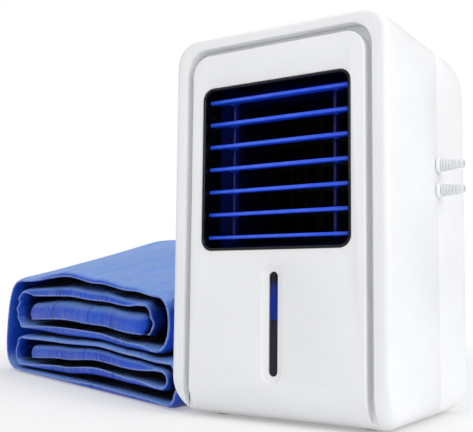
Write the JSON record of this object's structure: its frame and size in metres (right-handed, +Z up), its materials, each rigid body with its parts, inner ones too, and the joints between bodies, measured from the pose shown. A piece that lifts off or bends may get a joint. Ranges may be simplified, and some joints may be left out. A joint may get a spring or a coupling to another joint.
{
  "type": "water cooling mattress pad",
  "caption": "Small water cooling unit with a tilting louver, level window, filler and two hose outlets, and its folded blue mattress pad",
  "frame": {"origin": "middle of the footprint of the whole set, on the surface that it stands on", "axes": "+X to the right seen from the front, along the longest side; +Y to the back; +Z up"},
  "size_m": [0.4954, 0.304, 0.2499],
  "materials": {
    "casing_white": "satin white moulded plastic",
    "trim_black": "polished black",
    "slat_blue": "smooth royal blue",
    "duct_dark_blue": "dark blue moulded plastic",
    "black_plastic": "fine matt black",
    "level_lens": "clear lens over a dark blue water column",
    "tank_plastic": "milky moulded plastic",
    "silicone_hose": "milky silicone",
    "white_rubber": "white soft rubber",
    "foot_rubber": "grey rubber",
    "aluminium_core": "finned aluminium with a dark coating",
    "screw_steel": "bright steel",
    "circuit_board": "green board",
    "pad_nylon": "smooth royal blue nylon with a soft sheen"
  },
  "bodies": {
    "unit": {"front_shell": "casing_white", "rear_shell": "casing_white", "front_panel": "casing_white", "intake_grille": "casing_white", "filler_neck": "casing_white", "control_panel": "casing_white", "supply_port": "casing_white", "return_port": "casing_white", "grille_trim": "trim_black", "air_duct": "duct_dark_blue", "fan_frame": "black_plastic", "pump_housing": "black_plastic", "pump_cover": "black_plastic", "power_inlet": "black_plastic", "level_window": "level_lens", "water_tank": "tank_plastic", "tank_deck": "tank_plastic", "pump_hose": "silicone_hose", "supply_hose": "silicone_hose", "return_hose": "silicone_hose", "filler_hose": "silicone_hose", "supply_boot": "white_rubber", "return_boot": "white_rubber", "foot_front_left": "foot_rubber", "foot_front_right": "foot_rubber", "foot_rear_left": "foot_rubber", "foot_rear_right": "foot_rubber", "heat_exchanger": "aluminium_core", "casing_screw_1": "screw_steel", "casing_screw_2": "screw_steel", "casing_screw_3": "screw_steel", "casing_screw_4": "screw_steel", "fan_screw_1": "screw_steel", "fan_screw_2": "screw_steel", "fan_screw_3": "screw_steel", "fan_screw_4": "screw_steel", "lid_pin": "screw_steel", "control_board": "circuit_board"},
    "slat_1": {"slat_1": "slat_blue"},
    "slat_2": {"slat_2": "slat_blue"},
    "slat_3": {"slat_3": "slat_blue"},
    "slat_4": {"slat_4": "slat_blue"},
    "slat_5": {"slat_5": "slat_blue"},
    "slat_6": {"slat_6": "slat_blue"},
    "slat_7": {"slat_7": "slat_blue"},
    "louver_link_left": {"louver_link_left": "duct_dark_blue"},
    "louver_link_right": {"louver_link_right": "duct_dark_blue"},
    "fan_rotor": {"fan_rotor": "black_plastic"},
    "pump_impeller": {"pump_impeller": "black_plastic"},
    "filler_lid": {"filler_lid": "casing_white"},
    "button_power": {"button_power": "casing_white"},
    "button_fan": {"button_fan": "casing_white"},
    "button_timer": {"button_timer": "casing_white"},
    "folded_pad": {"folded_pad": "pad_nylon"}
  },
  "joints": [
    {"name": "slat_1_tilt", "type": "hinge", "parent": "unit", "child": "slat_1", "pos_m": [0.15504, -0.14387, 0.20185], "axis": [1, 0, 0], "range_deg": [-25, 25]},
    {"name": "slat_2_tilt", "type": "hinge", "parent": "unit", "child": "slat_2", "pos_m": [0.15504, -0.14387, 0.18715], "axis": [1, 0, 0], "range_deg": [-25, 25]},
    {"name": "slat_3_tilt", "type": "hinge", "parent": "unit", "child": "slat_3", "pos_m": [0.15504, -0.14387, 0.17245], "axis": [1, 0, 0], "range_deg": [-25, 25]},
    {"name": "slat_4_tilt", "type": "hinge", "parent": "unit", "child": "slat_4", "pos_m": [0.15504, -0.14387, 0.15775], "axis": [1, 0, 0], "range_deg": [-25, 25]},
    {"name": "slat_5_tilt", "type": "hinge", "parent": "unit", "child": "slat_5", "pos_m": [0.15504, -0.14387, 0.14305], "axis": [1, 0, 0], "range_deg": [-25, 25]},
    {"name": "slat_6_tilt", "type": "hinge", "parent": "unit", "child": "slat_6", "pos_m": [0.15504, -0.14387, 0.12835], "axis": [1, 0, 0], "range_deg": [-25, 25]},
    {"name": "slat_7_tilt", "type": "hinge", "parent": "unit", "child": "slat_7", "pos_m": [0.15504, -0.14387, 0.11365], "axis": [1, 0, 0], "range_deg": [-25, 25]},
    {"name": "louver_link_left_pivot", "type": "hinge", "parent": "slat_4", "child": "louver_link_left", "pos_m": [0.11904, -0.13667, 0.15775], "axis": [1, 0, 0], "range_deg": [-25, 25]},
    {"name": "louver_link_right_pivot", "type": "hinge", "parent": "slat_4", "child": "louver_link_right", "pos_m": [0.19104, -0.13667, 0.15775], "axis": [1, 0, 0], "range_deg": [-25, 25]},
    {"name": "fan_spin", "type": "hinge", "parent": "unit", "child": "fan_rotor", "pos_m": [0.15504, -0.04857, 0.15775], "axis": [0, 1, 0], "continuous": true},
    {"name": "impeller_spin", "type": "hinge", "parent": "unit", "child": "pump_impeller", "pos_m": [0.17303, -0.08137, 0.0114], "axis": [0, 0, 1], "continuous": true},
    {"name": "lid_hinge", "type": "hinge", "parent": "unit", "child": "filler_lid", "pos_m": [0.11704, -0.07987, 0.2479], "axis": [-1, 0, 0], "range_deg": [0, 100]},
    {"name": "button_power_press", "type": "slide", "parent": "unit", "child": "button_power", "axis": [0, 0, -1], "range_m": [0, 0.0008], "stiffness_N_per_m": 400, "springref_m": -0.0005},
    {"name": "button_fan_press", "type": "slide", "parent": "unit", "child": "button_fan", "axis": [0, 0, -1], "range_m": [0, 0.0008], "stiffness_N_per_m": 400, "springref_m": -0.0005},
    {"name": "button_timer_press", "type": "slide", "parent": "unit", "child": "button_timer", "axis": [0, 0, -1], "range_m": [0, 0.0008], "stiffness_N_per_m": 400, "springref_m": -0.0005},
    {"name": "pad_lift", "type": "slide", "parent": "unit", "child": "folded_pad", "axis": [0, 0, 1], "range_m": [0, 0.25]}
  ],
  "couplings": [
    {"joint": "slat_1_tilt", "follows": "slat_4_tilt", "ratio": 1},
    {"joint": "slat_2_tilt", "follows": "slat_4_tilt", "ratio": 1},
    {"joint": "slat_3_tilt", "follows": "slat_4_tilt", "ratio": 1},
    {"joint": "slat_5_tilt", "follows": "slat_4_tilt", "ratio": 1},
    {"joint": "slat_6_tilt", "follows": "slat_4_tilt", "ratio": 1},
    {"joint": "slat_7_tilt", "follows": "slat_4_tilt", "ratio": 1},
    {"joint": "louver_link_left_pivot", "follows": "slat_4_tilt", "ratio": -1},
    {"joint": "louver_link_right_pivot", "follows": "slat_4_tilt", "ratio": -1}
  ]
}
